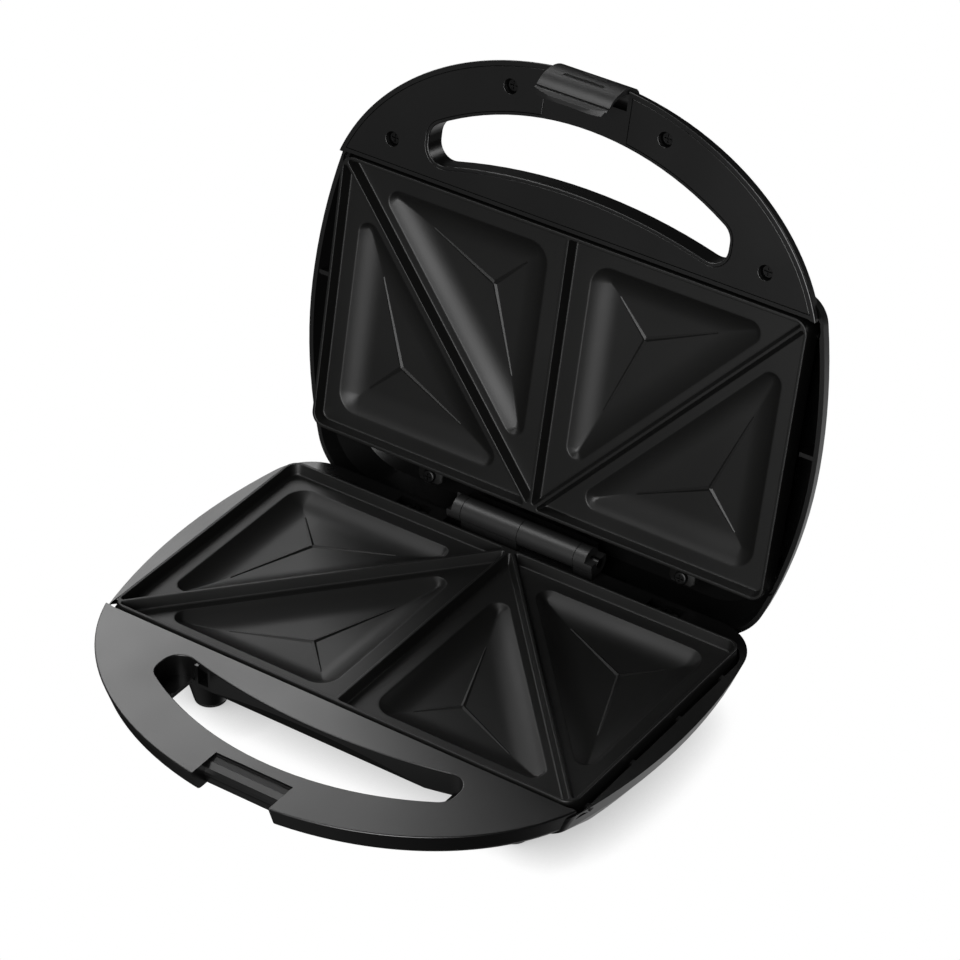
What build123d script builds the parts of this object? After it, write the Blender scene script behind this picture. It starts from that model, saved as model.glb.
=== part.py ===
"""Two-slice sandwich toaster standing open, each separate piece as its own solid.

Millimetres.  The model is drawn closed: x = 0 on the centre plane, y = 0 at the
front edge of the cooking plates, z = 0 on the rim of the lower plate.  At the end
the lid and its latch are swung open about the hinge, and everything is moved so
that the origin lies on the table under the middle of the whole.
"""

import math
import os

from build123d import *

os.makedirs("parts", exist_ok=True)

# ---- Driving dimensions ------------------------------------------------------
PLATE_X, PLATE_Y = 222.0, 121.4     # cooking plate, two slices side by side
PLATE_GAP = 0.4                     # air between the two rims when shut
WALL = 2.2                          # moulded wall
SIDE_BULGE = 122.0                  # widest half width, of the lid
WIDEST_Y = 62.0                     # where the body is widest
SIDE_BOW, LID_REAR_BOW = 250.0, 188.0   # radius of the sides, and behind on the lid
BASE_IN = 0.7                       # the base is narrower by this on each side
BASE_REAR = 132.2                   # back of the base, just clear of the lid's swing
LID_REAR = 145.0                    # back of the lid
DECK_Z = -3.5                       # side deck of the base
BOWL_Z = -34.0                      # underside of the base's bowl
FLOOR_Z = -42.0                     # table
LID_RIM_Z = 5.9                     # open edge of the lid
LID_TOP_Z = 38.4
HINGE_Y, HINGE_Z = 132.0, 1.0       # hinge axis, parallel to X
OPEN_ANGLE = 102.5                  # the lid leans back this far

# Cooking plate: casting.
PLATE_R = 6.0                       # corner radius
LAND = 4.7                          # flat land, below the rim
CAST_T = 2.8
SKIRT, SKIRT_T = 9.5, 3.0
RIDGE_W, DRAFT = 1.4, 14.0
# Pocket: (extra inset, depth below the land) of its rings, and its apex.
POCKET_RINGS = ((0.0, 0.0), (3.0, 2.2), (9.0, 3.6))
POCKET_APEX = 5.3
POCKET_WALL = 2.0                   # metal round a pocket
EAR_X, EAR_Y = (-53.0, 71.0), 126.8  # screw ears at the back of a plate
TAB_X = 65.0                        # hooks at its front
SADDLE_Y = (34.0, 85.0)             # where the heater crosses the centre line
HEATER_R = 3.25
HEATER_Z = -15.55                   # heater axis
HEATER_END, HEATER_BEND = -86.0, 60.0

# Handles: half ellipse with a bean-shaped finger gap.
HANDLE_A, HANDLE_B, HANDLE_CY = 117.85, 90.6, 23.5
HANDLE_EDGE = -0.6                  # where the handle's top steps down to the deck
PLATE_CLEAR = 1.1                   # plate to moulding, at the front
SKIRT_ROOM = 0.5                    # least air round a plate's skirt
GAP_FRONT = (87.8, 132.5)           # centre y and radius of the gap's front edge
GAP_BACK = (239.5, 256.7)           # the same for its back edge
GAP_WALL_Y = -12.0                  # foot of the wall behind the base's finger gap
GAP_HALF, GAP_R = 71.0, 7.4
BASE_TOP, BASE_UNDER = -0.9, -11.5  # base handle, top and underside
LID_INNER, LID_OUTER = 1.4, 10.9    # lid handle, inner face and back
COVER_T = 2.0
UNDERCUT, HANDLE_ROUND = 3.4, 3.5   # the outer wall draws in, and is rounded
TOP_ROUND = 0.5                     # softened edges on the parting side
COVER_IN = 2.3                      # lid cover, in from the edge of the handle
HANDLE_SCREWS = ((88.4, -13.2), (36.2, -51.7))

# Hinge knuckles: (from, to) along X.
KNUCKLE_R, PIN_R, PIN_FIT = 5.5, 2.0, 0.05
BASE_KNUCKLES = ((-29.15, -1.45), (26.45, 35.6))
LID_KNUCKLES = ((-36.0, -29.45), (-1.15, 26.15))

# Latch on the front of the lid.
LATCH_HALF = 17.0
LATCH_Y, LATCH_Z = -61.5, 6.2       # its pivot
RECESS = (-18.8, 18.0)              # cut in the base handle that takes it

FEET = ((74.2, 15.1), (74.2, 113.0))
FOOT_R, FOOT_FLARE = 7.1, 0.24      # radius at the pad, growth per mm upward
PAD_T = 1.6


# ---- Shapes used more than once ----------------------------------------------
def both_sides(shape):
    """The shape and its mirror image in the centre plane."""
    return shape + mirror(shape, about=Plane.YZ)


def cylinder_x(radius, x0, x1, y, z):
    """Cylinder along X."""
    return Pos((x0 + x1) / 2, y, z) * Rot(0, 90, 0) * Cylinder(radius, x1 - x0)


def cylinder_y(radius, y0, y1, x, z):
    """Cylinder along Y."""
    return Pos(x, (y0 + y1) / 2, z) * Rot(90, 0, 0) * Cylinder(radius, y1 - y0)


def post(radius, x, y, z0, z1):
    """Cylinder along Z."""
    return Pos(x, y, (z0 + z1) / 2) * Cylinder(radius, z1 - z0)


def block(x0, x1, y0, y1, z0, z1):
    """Box given by its limits."""
    centre = Pos((x0 + x1) / 2, (y0 + y1) / 2, (z0 + z1) / 2)
    return centre * Box(x1 - x0, y1 - y0, z1 - z0)


def extrude_x(points, x0, x1):
    """Closed outline of (y, z) points, extruded along X."""
    outline = make_face(Polyline([(x0, y, z) for y, z in points], close=True))
    return extrude(outline, amount=x1 - x0, dir=(1, 0, 0))


def rounded_outline(points, radii):
    """Closed straight-sided outline with its own radius at every corner."""
    face = make_face(Polyline(points, close=True))
    for point, radius in zip(points, radii):
        corner = face.vertices().sort_by_distance(point)[0]
        face = fillet(corner, radius)
    return face


def inset_corners(corners, margins):
    """Corners of a triangle whose edge i (corner i to i + 1) moves in by margins[i]."""
    lines = []
    for i, margin in enumerate(margins):
        start = Vector(*corners[i])
        along = (Vector(*corners[(i + 1) % 3]) - start).normalized()
        inward = Vector(-along.Y, along.X)
        lines.append((start + inward * margin, along))
    moved = []
    for i in range(3):
        (p, u), (q, v) = lines[i - 1], lines[i]
        reach = ((q - p).X * v.Y - (q - p).Y * v.X) / (u.X * v.Y - u.Y * v.X)
        meet = p + u * reach
        moved.append((meet.X, meet.Y))
    return moved


def side_x(half, bow, y):
    """Half width of the body at y, where its side is an arc of the given radius."""
    return half - bow + math.sqrt(bow**2 - (y - WIDEST_Y) ** 2)


def body_ring(z, half, y_front, y_rear, r_front, r_rear, rear_bow=SIDE_BOW):
    """Level outline of the body: straight front and back, each side in two arcs."""
    edges = []
    for bow, y in ((SIDE_BOW, y_front), (rear_bow, y_rear)):
        corner, midway = side_x(half, bow, y), (y + WIDEST_Y) / 2
        edges.append(Line((corner, y), (-corner, y)))
        for side in (-1, 1):
            through = (side * side_x(half, bow, midway), midway)
            edges.append(ThreePointArc((side * half, WIDEST_Y), through, (side * corner, y)))
    face = make_face(edges)
    rows = face.vertices().group_by(Axis.Y)
    face = fillet(rows[-1], r_rear)
    face = fillet(face.vertices().group_by(Axis.Y)[0], r_front)
    return Pos(0, 0, z) * face


def finger_gap(grow=0.0):
    """Bean-shaped finger gap of both handles, grown by the given amount."""
    bean = Pos(0, GAP_FRONT[0]) * Circle(GAP_FRONT[1])
    bean -= Pos(0, GAP_BACK[0]) * Circle(GAP_BACK[1])
    bean &= Pos(0, -25) * Rectangle(2 * GAP_HALF, 60)
    bean = fillet(bean.vertices(), GAP_R)
    return offset(bean, grow) if grow else bean


def handle_plan(inset=0.0, edge=HANDLE_EDGE):
    """Half-ellipse plan of a handle, in front of the given y."""
    plan = Pos(0, HANDLE_CY) * Ellipse(HANDLE_A - inset, HANDLE_B - inset)
    return plan & Pos(0, edge - 50) * Rectangle(260, 100)


def slab(face, z0, z1):
    """Level face extruded between two heights."""
    return extrude(Pos(0, 0, z0) * face, amount=z1 - z0, dir=(0, 0, 1))


def handle_loop(parting, back):
    """Handle from its parting face to its back: drawn in, rounded, with the gap cut."""
    wide = Pos(0, HANDLE_CY, parting) * Ellipse(HANDLE_A, HANDLE_B)
    drawn = Pos(0, HANDLE_CY, back) * Ellipse(HANDLE_A - UNDERCUT, HANDLE_B - UNDERCUT)
    loop = loft([wide, drawn], ruled=True)
    rims = loop.edges().filter_by(GeomType.ELLIPSE).sort_by(lambda e: abs(e.center().Z - back))
    loop = fillet(rims[0], HANDLE_ROUND)
    low, high = min(parting, back), max(parting, back)
    loop -= slab(finger_gap(), low - 1, high + 1)
    soft = [e for e in loop.edges() if abs(e.bounding_box().min.Z - parting) < 0.01]
    soft = [e for e in soft if abs(e.bounding_box().max.Z - parting) < 0.01]
    loop = fillet(soft, TOP_ROUND)
    return loop & block(-130, 130, -100, HANDLE_EDGE, low - 1, high + 1)


def screw(head_r, head_h, shank_r, length):
    """Pan-head cross-slot screw along -Z, with the top of its head at the origin."""
    body = post(head_r, 0, 0, -head_h, 0)
    body = fillet(body.edges().group_by(Axis.Z)[-1], head_h * 0.45)
    body += post(shank_r, 0, 0, -length, -head_h)
    for angle in (0, 90):
        body -= Rot(0, 0, angle) * block(-head_r * 0.6, head_r * 0.6, -0.3, 0.3, -0.8, 0.1)
    return body


# ---- Cooking plate -------------------------------------------------------------
HALF_X = PLATE_X / 2
# Corners (right angle first), edge margins, and ridge or rim half widths of the
# two triangular trays on the right; the left ones are their mirror images.
INNER = dict(
    corners=((0, 0), (HALF_X, 0), (0, PLATE_Y)),
    pocket=(9.2, 5.5, 10.5),
    tray=(RIDGE_W, RIDGE_W / 2, RIDGE_W / 2),
    radii=(1.0, 1.0, 1.0),
)
OUTER = dict(
    corners=((HALF_X, PLATE_Y), (0, PLATE_Y), (HALF_X, 0)),
    pocket=(9.0, 6.0, 9.5),
    tray=(RIDGE_W, RIDGE_W / 2, RIDGE_W),
    radii=(PLATE_R - RIDGE_W, 1.0, 1.0),
)
POCKET_RADII = (9.0, 5.0, 5.0)


def pocket(tray, grow=0.0, drop=0.0):
    """Sandwich pocket: coved walls and a floor of three faces that meet at a point."""
    rings = []
    for inset, depth in POCKET_RINGS:
        margins = [m + inset - grow for m in tray["pocket"]]
        corners = inset_corners(tray["corners"], margins)
        radii = [max(r + grow - inset, 1.4) for r in POCKET_RADII]
        rings.append(Pos(0, 0, -LAND - depth - drop) * rounded_outline(corners, radii))
    cove = loft(rings, ruled=True)
    a, b, c = (Vector(*p) for p in inset_corners(tray["corners"], tray["pocket"]))
    sides = ((b - c).length, (c - a).length, (a - b).length)
    apex = (a * sides[0] + b * sides[1] + c * sides[2]) / sum(sides)
    tip = Vertex(apex.X, apex.Y, -LAND - POCKET_APEX - drop)
    return cove + loft([rings[-1], tip], ruled=True)


def cast_plate():
    """Lower cooking plate, with the heater saddles cast on its underside."""
    outline = Pos(0, PLATE_Y / 2) * RectangleRounded(PLATE_X, PLATE_Y, PLATE_R)
    inside = Pos(0, PLATE_Y / 2) * RectangleRounded(
        PLATE_X - 2 * SKIRT_T, PLATE_Y - 2 * SKIRT_T, PLATE_R - SKIRT_T
    )
    plate = slab(outline, -SKIRT, 0) - slab(inside, -SKIRT, -LAND - CAST_T)
    for tray in (INNER, OUTER):
        plate += both_sides(pocket(tray, POCKET_WALL, CAST_T - 0.6))
    for y in SADDLE_Y:
        plate += block(-7, 7, y - 17, y + 17, HEATER_Z, -LAND - 1)
    plate += post(8.0, 0, 59.5, -12.5, -LAND - 1)
    for tray in (INNER, OUTER):
        corners = inset_corners(tray["corners"], tray["tray"])
        top = rounded_outline(corners, tray["radii"])
        recess = extrude(top, amount=LAND, dir=(0, 0, -1), taper=DRAFT)
        plate -= both_sides(recess)
        plate -= both_sides(pocket(tray))
    for y in SADDLE_Y:
        plate -= cylinder_x(HEATER_R, -8, 8, y, HEATER_Z)
        for side in (-1, 1):
            plate -= post(1.5, 0, y + side * 12, HEATER_Z - 1, HEATER_Z + 6)
    for x in EAR_X:
        plate += block(x - 6, x + 6, PLATE_Y - 1, EAR_Y + 2.8, -SKIRT, -SKIRT + 3)
        plate -= post(1.6, x, EAR_Y, -SKIRT - 1, -SKIRT + 4)
    plate += both_sides(block(TAB_X - 5, TAB_X + 5, -3, 1, -9.5, -6.5))
    return plate


lower_plate = cast_plate()

# ---- Heater, its clamps, thermostat and reflector -------------------------------
# Bent tube: out along the front leg, round the bend on the right, and back.
leg_front, leg_back = SADDLE_Y
bend_mid = (HEATER_BEND + (leg_back - leg_front) / 2, (leg_front + leg_back) / 2)
heater_path = Polyline((HEATER_END, leg_front), (HEATER_BEND, leg_front))
heater_path += ThreePointArc((HEATER_BEND, leg_front), bend_mid, (HEATER_BEND, leg_back))
heater_path += Line((HEATER_BEND, leg_back), (HEATER_END, leg_back))
tube_end = Plane((HEATER_END, leg_front, 0), z_dir=(1, 0, 0)) * Circle(HEATER_R)
lower_heater = Pos(0, 0, HEATER_Z) * sweep(tube_end, path=heater_path)
for y in SADDLE_Y:
    lower_heater += cylinder_x(1.4, HEATER_END - 9, HEATER_END, y, HEATER_Z)

CLAMP_T = 1.4
clamp_face = HEATER_Z - CLAMP_T
clamps, clamp_screws = [], []
for y in SADDLE_Y:
    clamp = block(-6, 6, y - 16.5, y + 16.5, clamp_face, HEATER_Z)
    clamp += cylinder_x(HEATER_R + CLAMP_T, -6, 6, y, HEATER_Z)
    clamp -= cylinder_x(HEATER_R, -7, 7, y, HEATER_Z)
    clamp -= block(-7, 7, y - 20, y + 20, HEATER_Z, HEATER_Z + 8)
    for side in (-1, 1):
        spot = Pos(0, y + side * 12, clamp_face - 1.6) * Rot(180, 0, 0)
        clamp -= post(1.5, 0, y + side * 12, clamp_face - 1, HEATER_Z + 1)
        clamp_screws.append(spot * screw(2.7, 1.6, 1.5, 7.5))
    clamps.append(clamp)

# Snap-disc thermostat on its pad under the middle of the plate.
thermostat = post(7.5, 0, 59.5, -17.0, -12.5)
thermostat += post(5.5, 0, 59.5, -19.5, -17.0)
for x in (-3.2, 3.2):
    thermostat += block(x - 0.4, x + 0.4, 56.5, 62.5, -21.0, -19.0)

# Reflector: pressed tray on four posts of the bowl, open where the heater leaves.
TRAY_X, TRAY_Y, TRAY_Z, SHEET = (-80.0, 92.0), (14.5, 107.0), -22.6, 0.7
tray_mid = Pos(sum(TRAY_X) / 2, sum(TRAY_Y) / 2)
tray_w, tray_d = TRAY_X[1] - TRAY_X[0], TRAY_Y[1] - TRAY_Y[0]
tray_rim = slab(tray_mid * RectangleRounded(tray_w, tray_d, 10), TRAY_Z, TRAY_Z + 9)
tray_hollow = tray_mid * RectangleRounded(tray_w - 2 * SHEET, tray_d - 2 * SHEET, 9.3)
lower_reflector = tray_rim - slab(tray_hollow, TRAY_Z + SHEET, TRAY_Z + 10)
for y in SADDLE_Y:
    lower_reflector -= block(-90, -70, y - 4, y + 4, HEATER_Z - 4, HEATER_Z + 10)
TRAY_POSTS = [(x, y) for x in (-62, 62) for y in (44, 96)]
for x, y in TRAY_POSTS:
    lower_reflector -= post(1.6, x, y, TRAY_Z - 1, TRAY_Z + 2)
tray_screws = [
    Pos(x, y, TRAY_Z + SHEET + 1.6) * screw(2.7, 1.6, 1.5, 7.5) for x, y in TRAY_POSTS
]

# Thermal fuse under the reflector, held by a strap.
FUSE_X, FUSE_Y, FUSE_R = -20.0, 78.0, 2.0
FUSE_Z = TRAY_Z - FUSE_R
thermal_fuse = cylinder_x(FUSE_R, FUSE_X - 6, FUSE_X + 6, FUSE_Y, FUSE_Z)
thermal_fuse += cylinder_x(0.5, FUSE_X - 16, FUSE_X + 16, FUSE_Y, FUSE_Z)
fuse_strap = block(FUSE_X - 3, FUSE_X + 3, FUSE_Y - 7, FUSE_Y + 7, TRAY_Z - 0.6, TRAY_Z)
fuse_strap += cylinder_x(FUSE_R + 0.6, FUSE_X - 3, FUSE_X + 3, FUSE_Y, FUSE_Z)
fuse_strap -= cylinder_x(FUSE_R, FUSE_X - 4, FUSE_X + 4, FUSE_Y, FUSE_Z)
fuse_strap -= block(FUSE_X - 4, FUSE_X + 4, FUSE_Y - 2, FUSE_Y + 2, FUSE_Z, TRAY_Z + 1)
fuse_strap -= block(FUSE_X - 4, FUSE_X + 4, FUSE_Y - 8, FUSE_Y + 8, TRAY_Z, TRAY_Z + 2)

# ---- Base shell -----------------------------------------------------------------
# Rings of the bowl, top down: height, half width, front, back, corner radii.
BASE_HALF = SIDE_BULGE - BASE_IN
bowl_rings = [
    body_ring(DECK_Z, BASE_HALF, -8, BASE_REAR, 10, 22),
    body_ring(BASE_UNDER, BASE_HALF - 3.3, -8, BASE_REAR, 8, 20),
    body_ring(-23, BASE_HALF - 11.8, 8, BASE_REAR, 16, 20),
    body_ring(BOWL_Z, BASE_HALF - 23, 26, 127, 22, 24),
]
floor_in = BOWL_Z + WALL
bowl_hollow_rings = [
    body_ring(DECK_Z - 2, BASE_HALF - WALL, -PLATE_CLEAR, BASE_REAR - WALL, 4, 18),
    body_ring(BASE_UNDER, BASE_HALF - 3.2 - WALL, -PLATE_CLEAR, BASE_REAR - WALL, 3, 15),
    body_ring(-23, BASE_HALF - 12.2 - WALL, 11, BASE_REAR - WALL, 13, 17),
    body_ring(floor_in, BASE_HALF - 21.6 - WALL, 26, 128.0 - WALL, 18, 21),
]
bowl = loft(bowl_rings, ruled=True)
bowl = fillet(bowl.faces().sort_by(Axis.Z)[0].edges(), 3.0)
bowl_hollow = loft(bowl_hollow_rings, ruled=True)

base_shell = bowl + handle_loop(BASE_TOP, BASE_UNDER)
for x, y in FEET:
    rise = 16.0
    leg_z = FLOOR_Z + PAD_T
    leg = Pos(x, y, leg_z + rise / 2) * Cone(FOOT_R, FOOT_R + FOOT_FLARE * rise, rise)
    base_shell += both_sides(leg)
base_shell += both_sides(post(3.2, 88.5, 24, -36.0, -26.0))
base_shell -= bowl_hollow

# Opening for the plate, with room for its screw ears at the back.
OPENING_X, OPENING_REAR = 113.9, 124.5
opening = rounded_outline(
    (
        (OPENING_X, -PLATE_CLEAR), (OPENING_X, OPENING_REAR),
        (-OPENING_X, OPENING_REAR), (-OPENING_X, -PLATE_CLEAR),
    ),
    (5, 14, 14, 5),
)
base_shell -= slab(opening, DECK_Z - 3, 2)
plate_room = Pos(0, PLATE_Y / 2) * RectangleRounded(
    PLATE_X + 2 * SKIRT_ROOM, PLATE_Y + 2 * SKIRT_ROOM, PLATE_R + SKIRT_ROOM
)
base_shell -= slab(plate_room, -SKIRT - SKIRT_ROOM, 2)
for x in EAR_X:
    base_shell -= block(x - 8, x + 8, 120, BASE_REAR - WALL, DECK_Z - 3, 2)
for y in (7.5, 38.7, 71.3, 102.5):
    lug = block(OPENING_X - 1.5, OPENING_X + 1, y - 1.2, y + 1.2, DECK_Z - 2, DECK_Z - 0.3)
    base_shell += both_sides(lug)

# Posts: under the plate's skirt, its ears, the reflector, the terminal block.
inner_posts = both_sides(post(3.6, 107.5, 8, -32, -SKIRT) + post(3.6, 107.5, 113, -32, -SKIRT))
for x in EAR_X:
    inner_posts += post(4, x, EAR_Y, -33, -SKIRT)
    inner_posts += block(x - 1, x + 1, EAR_Y, BASE_REAR - 1, -33, -SKIRT)
for x, y in TRAY_POSTS:
    inner_posts += post(3.5, x, y, -33, TRAY_Z)
base_shell += inner_posts & bowl
for x in EAR_X:
    base_shell -= post(1.5, x, EAR_Y, -22, -SKIRT + 1)
for x, y in TRAY_POSTS:
    base_shell -= post(1.5, x, y, -29.5, TRAY_Z + 1)
base_shell -= both_sides(block(TAB_X - 5.4, TAB_X + 5.4, -3.4, 0, -9.5, -3.5))

# Pocket under the handle for its cover, deeper beside the latch's recess.
UNDER_IN = UNDERCUT + HANDLE_ROUND + 0.4
cover_seat = handle_plan(UNDER_IN, -8.8) - finger_gap(WALL)
cover_seat -= Pos(0, -9.5) * Rectangle(150, 13)
cover_seat -= Pos(0, -60) * Rectangle(46, 16)
base_shell -= slab(cover_seat, BASE_UNDER - 1, BASE_UNDER + COVER_T)
handle_hollow = handle_plan(UNDER_IN + 1.5, -15.0) - finger_gap(2 * WALL)
handle_hollow -= Pos(0, -40) * Rectangle(50, 80)
for side in (-1, 1):
    for x, y in HANDLE_SCREWS:
        handle_hollow -= Pos(side * x, y) * Circle(3.6)
base_shell -= slab(handle_hollow, BASE_UNDER, BASE_TOP - WALL)
base_handle_screws = []
for side in (-1, 1):
    for x, y in HANDLE_SCREWS:
        base_shell -= post(1.3, side * x, y, BASE_UNDER, BASE_TOP - 3)
        spot = Pos(side * x, y, BASE_UNDER + 0.4) * Rot(180, 0, 0)
        base_handle_screws.append(spot * screw(2.8, 1.4, 1.3, 6.5))

# Cover: a plate in that seat, its screws let in.
base_handle_cover = handle_plan(UNDER_IN + 0.15, -8.95) - finger_gap(WALL + 0.15)
base_handle_cover -= Pos(0, -9.5) * Rectangle(150.3, 13.3)
base_handle_cover -= Pos(0, -60) * Rectangle(46.3, 16.3)
base_handle_cover = slab(base_handle_cover, BASE_UNDER, BASE_UNDER + COVER_T)
for side in (-1, 1):
    for x, y in HANDLE_SCREWS:
        base_handle_cover -= post(3.1, side * x, y, BASE_UNDER - 1, BASE_UNDER + 1.8)
        base_handle_cover -= post(1.3, side * x, y, BASE_UNDER, BASE_UNDER + 3)
        boss = post(3.5, side * x, y, BASE_UNDER + 1.8, BASE_UNDER + COVER_T)
        base_shell -= boss

# Recess for the latch: a bead across its front that the hook passes.
recess_profile = (
    (-50.4, 3.0), (-50.4, -2.0), (-54.4, -2.5), (-56.8, -4.0), (-57.6, -5.6),
    (-57.9, -6.8), (-57.3, -8.2), (-56.2, -13.0), (-80.0, -13.0), (-80.0, 3.0),
)
base_shell -= extrude_x(recess_profile, *RECESS)

# The wall behind the finger gap slopes back to a straight foot; ledges close the
# gap's ends from below; a small framed window is cut in the wall.
base_shell -= extrude_x(
    (
        (GAP_WALL_Y, BASE_UNDER - 8), (GAP_WALL_Y, BASE_UNDER), (-17.3, BASE_TOP - 1.6),
        (-30, BASE_TOP - 1.6), (-30, BASE_UNDER - 8),
    ),
    -60, 60,
)
ledge = finger_gap(WALL / 2) - Pos(0, -25) * Rectangle(2 * 62.8, 60)
base_shell += slab(ledge, BASE_UNDER - 1.4, BASE_UNDER + 0.4)
WINDOW = (-58.0, -53.0)
for x in (WINDOW[0] - 1.5, WINDOW[1]):
    base_shell += block(x, x + 1.5, -11.9, -9, BASE_UNDER, BASE_TOP - 0.6)
base_shell += block(WINDOW[0] - 1.5, WINDOW[1] + 1.5, -11.9, -9, BASE_UNDER, -10)
base_shell -= block(*WINDOW, -13.5, -4.5, -10, -3.4)

# Hinge clearance and cord inlet at the back.
INLET_X, INLET_Z, INLET_R = 60.0, -22.0, 4.6
HINGE_LEFT, HINGE_RIGHT = LID_KNUCKLES[0][0], BASE_KNUCKLES[1][1]
base_shell -= cylinder_x(KNUCKLE_R + 0.8, HINGE_LEFT - 1, HINGE_RIGHT + 1, HINGE_Y, HINGE_Z)
base_shell -= block(
    HINGE_LEFT - 1, HINGE_RIGHT + 1, OPENING_REAR - 0.5, BASE_REAR - WALL, DECK_Z - 3, 2
)
inlet_in, inlet_out = BASE_REAR - WALL, BASE_REAR
base_shell += cylinder_y(INLET_R + 2.0, inlet_in - 1.5, inlet_out, INLET_X, INLET_Z)
base_shell -= cylinder_y(INLET_R + 1.0, inlet_in - 6, inlet_in, INLET_X, INLET_Z)
base_shell -= cylinder_y(INLET_R, inlet_in - 1, inlet_out + 1, INLET_X, INLET_Z)

# ---- Fittings of the base ---------------------------------------------------------
# Cord bushing: flange outside, collar inside, the wall in the groove between them.
INLET_BORE = 3.4
cord_bushing = cylinder_y(INLET_R, inlet_in - 2, inlet_out + 2.6, INLET_X, INLET_Z)
cord_bushing += cylinder_y(INLET_R + 1.6, inlet_out, inlet_out + 2.6, INLET_X, INLET_Z)
cord_bushing += cylinder_y(INLET_R + 0.9, inlet_in - 2.6, inlet_in, INLET_X, INLET_Z)
cord_bushing -= cylinder_y(INLET_BORE, inlet_in - 4, inlet_out + 4, INLET_X, INLET_Z)

terminal_block = block(22, 50, 100, 112, floor_in, floor_in + 8.6)
terminal_screws = []
for x in (27, 36, 45):
    terminal_block -= post(1.6, x, 106, floor_in + 3, floor_in + 9)
    terminal_screws.append(Pos(x, 106, floor_in + 7.6) * screw(1.6, 1.2, 1.2, 4.0))
    for y in (99, 109):
        terminal_block -= Pos(x, y + 2, floor_in + 4) * Rot(90, 0, 0) * Cylinder(1.3, 6)

foot_pads = []
for side in (-1, 1):
    for x, y in FEET:
        pad = post(FOOT_R - 0.3, side * x, y, FLOOR_Z, FLOOR_Z + PAD_T)
        pad = fillet(pad.edges().group_by(Axis.Z)[0], 0.6)
        pad += post(3.0, side * x, y, FLOOR_Z + PAD_T, FLOOR_Z + PAD_T + 4)
        base_shell -= post(3.0, side * x, y, FLOOR_Z, FLOOR_Z + PAD_T + 4.2)
        foot_pads.append(pad)

plate_screws = [
    Pos(x, EAR_Y, -SKIRT + 3 + 1.8) * screw(2.9, 1.8, 1.5, 13.5) for x in EAR_X
]

# ---- Lid shell ----------------------------------------------------------------------
lid_rings = [
    body_ring(LID_RIM_Z, SIDE_BULGE, -8, LID_REAR, 12, 26, LID_REAR_BOW),
    body_ring(13, SIDE_BULGE - 1.8, -7, LID_REAR - 0.6, 13, 27, LID_REAR_BOW),
    body_ring(22, SIDE_BULGE - 7.2, -3, LID_REAR - 4, 18, 29, LID_REAR_BOW),
    body_ring(30, SIDE_BULGE - 15.5, 5, LID_REAR - 11, 24, 31, LID_REAR_BOW),
    body_ring(35.4, SIDE_BULGE - 27, 17, LID_REAR - 22, 28, 32, LID_REAR_BOW),
    body_ring(LID_TOP_Z, SIDE_BULGE - 42, 33, LID_REAR - 38, 28, 30, LID_REAR_BOW),
]
lid_hollow_rings = [
    body_ring(LID_RIM_Z - 1, SIDE_BULGE - 1.8, -PLATE_CLEAR, LID_REAR - 2, 4, 24, LID_REAR_BOW),
    body_ring(13, SIDE_BULGE - 4, -PLATE_CLEAR, LID_REAR - 2.8, 4, 25, LID_REAR_BOW),
    body_ring(22, SIDE_BULGE - 10, 1, LID_REAR - 6.6, 15, 27, LID_REAR_BOW),
    body_ring(29, SIDE_BULGE - 18, 8, LID_REAR - 13.5, 21, 29, LID_REAR_BOW),
    body_ring(33.8, SIDE_BULGE - 30, 20, LID_REAR - 25, 25, 30, LID_REAR_BOW),
    body_ring(LID_TOP_Z - WALL, SIDE_BULGE - 44, 35, LID_REAR - 40, 26, 28, LID_REAR_BOW),
]
dome = loft(lid_rings, ruled=True)
dome_hollow = loft(lid_hollow_rings, ruled=True)
lid_shell = dome + handle_loop(LID_INNER, LID_OUTER) - dome_hollow
lid_opening = Pos(0, 60 - PLATE_CLEAR / 2) * RectangleRounded(
    2 * OPENING_X, 120 + PLATE_CLEAR, 5
)
lid_shell -= slab(lid_opening, 0, 8)
lid_shell -= slab(plate_room, 0, PLATE_GAP + SKIRT + SKIRT_ROOM)
lid_shell -= both_sides(block(TAB_X - 5.4, TAB_X + 5.4, -3.4, 0, 3.9, 9.9 + PLATE_GAP))

# Ribs beside the plate, posts for plate, reflector and hinge.
plate_back = SKIRT + PLATE_GAP
tray_back = -TRAY_Z + PLATE_GAP
HINGE_SCREW_X, HINGE_SCREW_Y, LEAF_Z = (-16.0, 12.0), 138.0, 15.6
lid_posts = both_sides(
    block(OPENING_X - 0.6, SIDE_BULGE - 1.5, 55.6, 57.4, LID_RIM_Z + 0.8, 24)
)
lid_posts += both_sides(
    post(3.6, 107.5, 8, plate_back, 38) + post(3.6, 107.5, 113, plate_back, 38)
)
for x in EAR_X:
    lid_posts += post(4, x, EAR_Y, plate_back, 38)
for x, y in TRAY_POSTS:
    lid_posts += post(3.5, x, y, tray_back, 38)
for x in HINGE_SCREW_X:
    lid_posts += post(4, x, HINGE_SCREW_Y, LEAF_Z, 38)
lid_shell += lid_posts & dome
for x in EAR_X:
    lid_shell -= post(1.5, x, EAR_Y, plate_back - 1, 22)
for x, y in TRAY_POSTS:
    lid_shell -= post(1.5, x, y, tray_back - 1, 29.5)
for x in HINGE_SCREW_X:
    lid_shell -= post(1.5, x, HINGE_SCREW_Y, LEAF_Z - 1, 23.5)

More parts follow.
